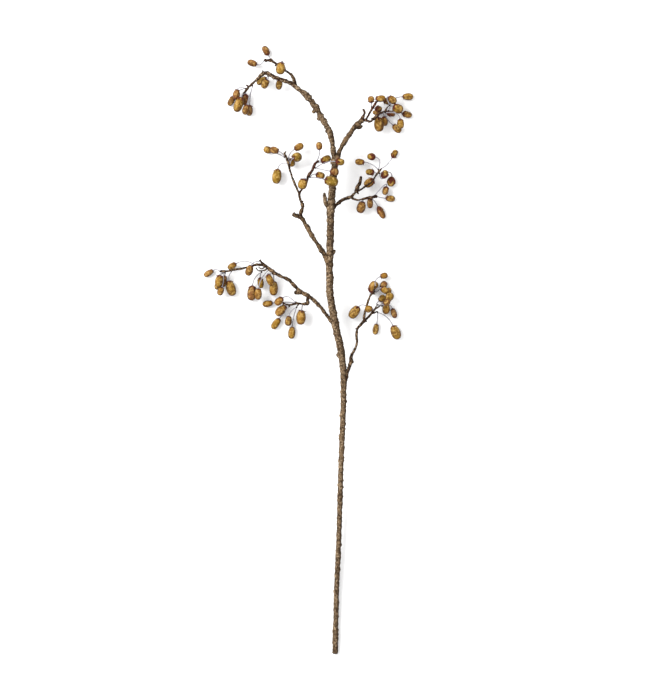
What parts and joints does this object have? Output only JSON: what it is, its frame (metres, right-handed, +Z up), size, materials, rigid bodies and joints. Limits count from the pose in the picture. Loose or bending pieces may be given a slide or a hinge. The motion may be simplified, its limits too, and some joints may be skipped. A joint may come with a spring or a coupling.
{
  "type": "rose hip sprig",
  "caption": "Cut sprig of ripe rose hips lying flat: a long knobbly woody stem with short forked side branches and clusters of oval hips on thin stalks.",
  "frame": {"origin": "centre of the sprig's bounding box on the plane that it lies on", "axes": "+Y along the stem from its cut end to the tips, +Z up, away from the surface that it lies on"},
  "size_m": [0.3464, 1.0063, 0.0615],
  "materials": {
    "bark": "rough grey-brown bark",
    "twig": "dark knobbly twig bark",
    "hip": "waxy ochre fruit skin",
    "calyx": "dry dark maroon sepals",
    "stalk": "thin grey stalk"
  },
  "bodies": {
    "root": {"main_stem": "bark", "top_left_twig": "twig", "top_right_branch": "twig", "mid_left_branch": "twig", "mid_right_branch": "twig", "lower_left_branch": "twig", "lower_right_branch": "twig", "top_left_hip_1": "hip", "top_left_hip_2": "hip", "top_left_hip_3": "hip", "top_left_hips_4_5": "hip", "top_left_hip_6": "hip", "top_left_hips_7_8": "hip", "top_left_hips_9_10": "hip", "top_left_hips_11_12": "hip", "top_right_hips_1_9": "hip", "top_right_hips_2_3": "hip", "top_right_hips_4_5": "hip", "top_right_hips_6_7": "hip", "top_right_hips_8_14": "hip", "top_right_hips_10_11": "hip", "top_right_hips_12_13": "hip", "mid_left_hips_1_2": "hip", "mid_left_hip_3": "hip", "mid_left_hips_4_5": "hip", "mid_left_hip_6": "hip", "mid_left_hips_7_8": "hip", "mid_left_hip_9": "hip", "mid_left_hips_10_11": "hip", "mid_left_hips_12_13": "hip", "mid_right_hip_1": "hip", "mid_right_hips_2_3": "hip", "mid_right_hip_4": "hip", "mid_right_hips_5_6": "hip", "mid_right_hip_7": "hip", "mid_right_hip_8": "hip", "mid_right_hip_9": "hip", "mid_right_hip_10": "hip", "mid_right_hips_11_12": "hip", "lower_left_hip_1": "hip", "lower_left_hip_2": "hip", "lower_left_hips_3_4": "hip", "lower_left_hips_5_6": "hip", "lower_left_hip_7": "hip", "lower_left_hip_8": "hip", "lower_left_hips_9_10": "hip", "lower_left_hip_11": "hip", "lower_left_hips_12_13": "hip", "lower_left_hips_14_15": "hip", "lower_left_hips_16_17": "hip", "lower_left_hips_18_19": "hip", "lower_left_hip_20": "hip", "lower_right_hip_1": "hip", "lower_right_hip_2": "hip", "lower_right_hips_3_4": "hip", "lower_right_hips_5_6": "hip", "lower_right_hips_7_8": "hip", "lower_right_hips_9_10": "hip", "lower_right_hips_11_12": "hip", "lower_right_hips_13_14": "hip"}
  },
  "joints": []
}
